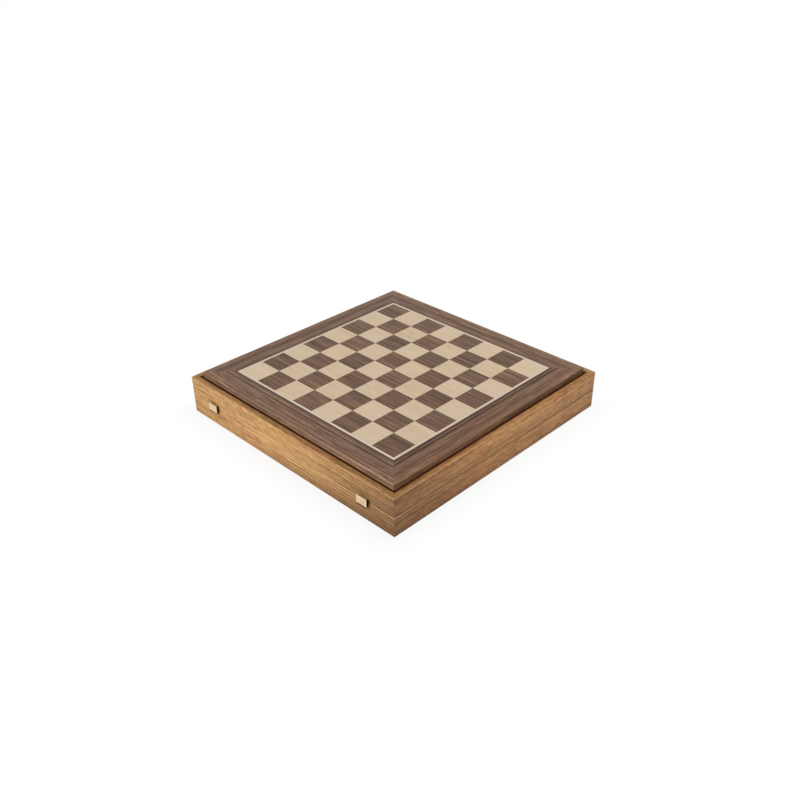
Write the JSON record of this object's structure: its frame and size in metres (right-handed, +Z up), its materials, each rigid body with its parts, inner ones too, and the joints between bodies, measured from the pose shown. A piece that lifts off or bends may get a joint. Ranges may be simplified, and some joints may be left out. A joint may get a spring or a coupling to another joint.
{
  "type": "chess box with hinged lid",
  "caption": "Square wooden box with a lid hinged at the back and latched in front. A loose inlaid chess board rests in a recess on top, with felted compartments inside.",
  "frame": {"origin": "centre of the underside of the box", "axes": "+Z up, -Y towards the latches in front, +Y towards the hinges at the back, +X to the right as seen from the front"},
  "size_m": [0.426, 0.4353, 0.0677],
  "materials": {
    "box_walnut": "satin lacquered veneer",
    "dark_walnut": "satin lacquered",
    "maple": "satin lacquered veneer",
    "panel_wood": "plain plywood",
    "felt": "green felt",
    "brass": "satin brass"
  },
  "bodies": {
    "base": {"base_front_wall": "box_walnut", "base_right_wall": "box_walnut", "base_back_wall": "box_walnut", "base_left_wall": "box_walnut", "base_bottom_panel": "panel_wood", "base_floor_felt": "felt", "long_divider_front": "box_walnut", "long_divider_back": "box_walnut", "short_dividers_front": "box_walnut", "short_dividers_back": "box_walnut", "hinge_base_leaf_left": "brass", "hinge_base_leaf_right": "brass", "hinge_pin_left": "brass", "hinge_pin_right": "brass", "hinge_base_screws": "brass", "latch_strike_left": "brass", "latch_strike_right": "brass", "latch_strike_screws": "brass"},
    "lid": {"lid_front_wall": "box_walnut", "lid_right_wall": "box_walnut", "lid_back_wall": "box_walnut", "lid_left_wall": "box_walnut", "lid_panel": "panel_wood", "lid_felt": "felt", "hinge_lid_leaf_left": "brass", "hinge_lid_leaf_right": "brass", "hinge_lid_screws": "brass", "latch_plate_left": "brass", "latch_plate_right": "brass", "latch_pin_left": "brass", "latch_pin_right": "brass", "latch_plate_screws": "brass"},
    "board": {"board_core": "panel_wood", "board_front_rail": "dark_walnut", "board_right_rail": "dark_walnut", "board_back_rail": "dark_walnut", "board_left_rail": "dark_walnut", "board_line": "maple", "board_light_squares": "maple", "board_dark_squares": "dark_walnut", "board_felt": "felt"},
    "latch_lever_left": {"latch_lever_left": "brass"},
    "latch_lever_right": {"latch_lever_right": "brass"}
  },
  "joints": [
    {"name": "lid_hinge", "type": "hinge", "parent": "base", "child": "lid", "pos_m": [0, 0.2158, 0.0292], "axis": [-1, 0, 0], "range_deg": [0, 100]},
    {"name": "board_lift", "type": "slide", "parent": "lid", "child": "board", "axis": [0, 0, 1], "range_m": [0, 0.03]},
    {"name": "latch_left_swing", "type": "hinge", "parent": "lid", "child": "latch_lever_left", "pos_m": [-0.1585, -0.2146, 0.035], "axis": [-1, 0, 0], "range_deg": [0, 90]},
    {"name": "latch_right_swing", "type": "hinge", "parent": "lid", "child": "latch_lever_right", "pos_m": [0.1585, -0.2146, 0.035], "axis": [-1, 0, 0], "range_deg": [0, 90]}
  ]
}
